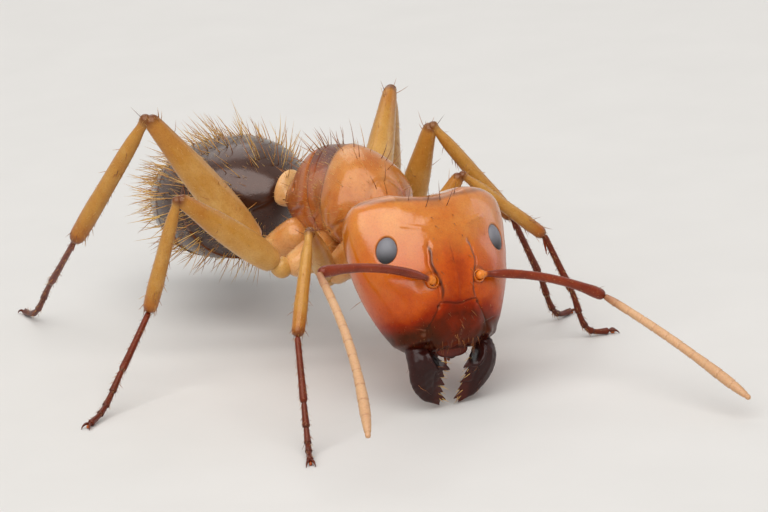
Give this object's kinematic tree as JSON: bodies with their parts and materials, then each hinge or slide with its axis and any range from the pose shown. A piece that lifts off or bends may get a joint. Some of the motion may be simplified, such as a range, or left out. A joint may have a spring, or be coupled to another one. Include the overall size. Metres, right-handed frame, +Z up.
{
  "type": "carpenter ant",
  "caption": "Life-size still model of an orange carpenter ant with a black gaster, a big-headed major worker with open jaws, halted in mid step.",
  "frame": {"origin": "centre of the bounding box, at the floor that the feet stand on", "axes": "+Z up from the floor; the ant faces -Y with its own left side towards +X, and +Y runs back along its body"},
  "size_m": [0.0124, 0.0174, 0.0052],
  "materials": {
    "head_shell": "glossy orange shell, redder to the front",
    "jaw_shell": "glossy black-brown horn",
    "eye_lens": "satin grey-black faceted lens",
    "mouth_shell": "satin reddish brown",
    "feeler_shell": "satin dark red-brown",
    "feeler_whip": "fine matt pinkish tan",
    "trunk_shell": "glossy amber-orange shell",
    "leg_shell": "glossy honey yellow, red-brown at the knees",
    "foot_shell": "satin dark red-brown",
    "gaster_shell": "glossy black-brown shell",
    "hair": "stiff golden bristles"
  },
  "bodies": {
    "root": {"head": "head_shell", "eye_right": "eye_lens", "eye_left": "eye_lens", "mandible_right": "jaw_shell", "mandible_left": "jaw_shell", "mouthparts": "mouth_shell", "scape_right": "feeler_shell", "scape_left": "feeler_shell", "funiculus_right": "feeler_whip", "funiculus_left": "feeler_whip", "prothorax": "trunk_shell", "mesothorax": "trunk_shell", "propodeum": "trunk_shell", "petiole": "trunk_shell", "gaster_1": "gaster_shell", "gaster_2": "gaster_shell", "gaster_3": "gaster_shell", "gaster_4": "gaster_shell", "gaster_tip": "gaster_shell", "coxa_front_right": "trunk_shell", "trochanter_front_right": "leg_shell", "femur_front_right": "leg_shell", "tibia_front_right": "leg_shell", "tarsus_front_right": "foot_shell", "coxa_front_left": "trunk_shell", "trochanter_front_left": "leg_shell", "femur_front_left": "leg_shell", "tibia_front_left": "leg_shell", "tarsus_front_left": "foot_shell", "coxa_middle_right": "trunk_shell", "trochanter_middle_right": "leg_shell", "femur_middle_right": "leg_shell", "tibia_middle_right": "leg_shell", "tarsus_middle_right": "foot_shell", "coxa_middle_left": "trunk_shell", "trochanter_middle_left": "leg_shell", "femur_middle_left": "leg_shell", "tibia_middle_left": "leg_shell", "tarsus_middle_left": "foot_shell", "coxa_hind_right": "trunk_shell", "trochanter_hind_right": "leg_shell", "femur_hind_right": "leg_shell", "tibia_hind_right": "leg_shell", "tarsus_hind_right": "foot_shell", "coxa_hind_left": "trunk_shell", "trochanter_hind_left": "leg_shell", "femur_hind_left": "leg_shell", "tibia_hind_left": "leg_shell", "tarsus_hind_left": "foot_shell"}
  },
  "joints": []
}
